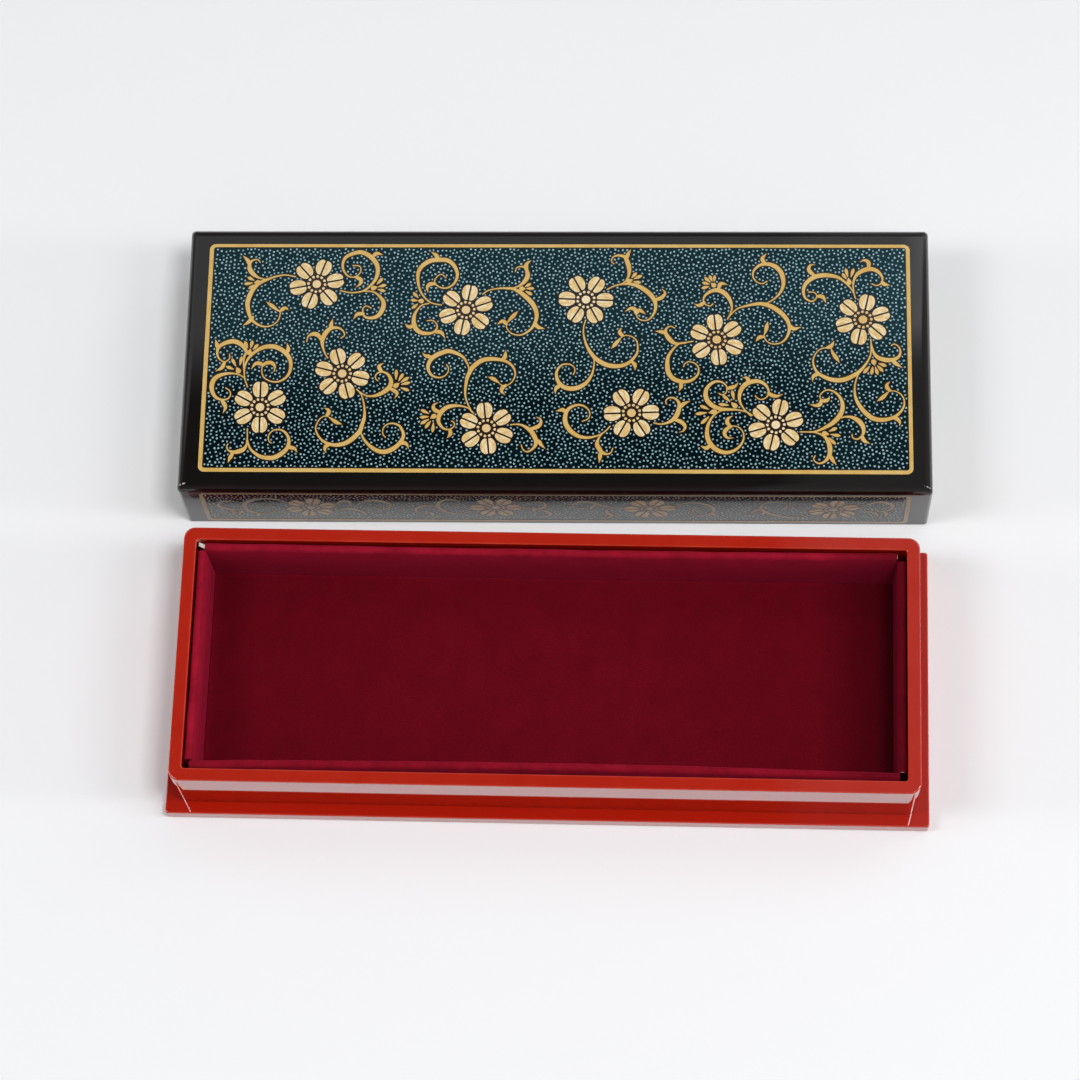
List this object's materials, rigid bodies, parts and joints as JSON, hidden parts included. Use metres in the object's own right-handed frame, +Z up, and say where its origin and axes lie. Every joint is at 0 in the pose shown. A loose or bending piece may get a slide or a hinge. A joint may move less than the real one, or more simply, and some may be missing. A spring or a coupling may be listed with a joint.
{
  "type": "lacquer pen box",
  "caption": "Long lacquered box with a red, velvet-lined tray on a plinth board and a black lid with gold scroll ornament that lifts off.",
  "frame": {"origin": "centre of the plinth board's underside, on the table", "axes": "+X to the right along the box's long side, +Y to the back, where the open lid lies, +Z up"},
  "size_m": [0.241, 0.1932, 0.0302],
  "materials": {
    "red_lacquer": "gloss red lacquer on wood",
    "black_lacquer": "gloss black lacquer on wood",
    "crimson_velvet": "short-pile velvet",
    "lining_card": "matt grey-white card",
    "gold_ornament": "pale gold powder under clear lacquer",
    "teal_lacquer": "near-black teal lacquer ground under clear lacquer",
    "pale_dots": "pale blue lacquer dots under clear lacquer"
  },
  "bodies": {
    "tray": {"plinth_board": "red_lacquer", "tray_front_wall": "red_lacquer", "tray_back_wall": "red_lacquer", "tray_left_wall": "red_lacquer", "tray_right_wall": "red_lacquer", "lining_floor_card": "lining_card", "lining_floor_velvet": "crimson_velvet", "lining_front_card": "lining_card", "lining_front_velvet": "crimson_velvet", "lining_back_card": "lining_card", "lining_back_velvet": "crimson_velvet", "lining_left_card": "lining_card", "lining_left_velvet": "crimson_velvet", "lining_right_card": "lining_card", "lining_right_velvet": "crimson_velvet"},
    "lid": {"lid_top_board": "black_lacquer", "lid_front_wall": "black_lacquer", "lid_back_wall": "black_lacquer", "lid_left_wall": "black_lacquer", "lid_right_wall": "black_lacquer"}
  },
  "joints": [
    {"name": "lid_lift", "type": "slide", "parent": "tray", "child": "lid", "axis": [0, 0, 1], "range_m": [0, 0.06]}
  ]
}
